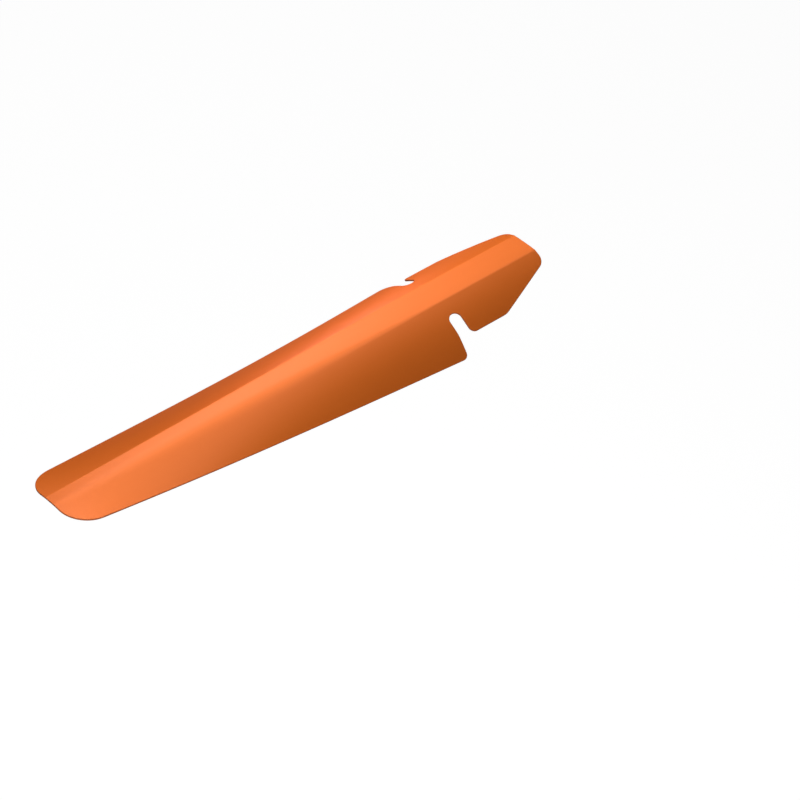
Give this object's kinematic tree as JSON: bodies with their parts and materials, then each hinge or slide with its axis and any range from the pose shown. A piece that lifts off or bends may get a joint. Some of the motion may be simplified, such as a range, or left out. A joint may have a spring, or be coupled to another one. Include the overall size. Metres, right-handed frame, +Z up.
{
  "type": "bicycle mudguard",
  "caption": "Clip-on rear bicycle mudguard: a long tapered sheet of orange plastic, folded into a shallow arch, with notched ears that grip the saddle rails.",
  "frame": {"origin": "midway between the two rail notches, at mid thickness of the flat centre strip", "axes": "+X forward along the centre strip toward the nose, +Y to the rider's left, +Z up"},
  "size_m": [0.326, 0.0766, 0.02],
  "materials": {
    "orange_sheet": "satin orange polypropylene sheet"
  },
  "bodies": {
    "root": {"mudguard": "orange_sheet"}
  },
  "joints": []
}
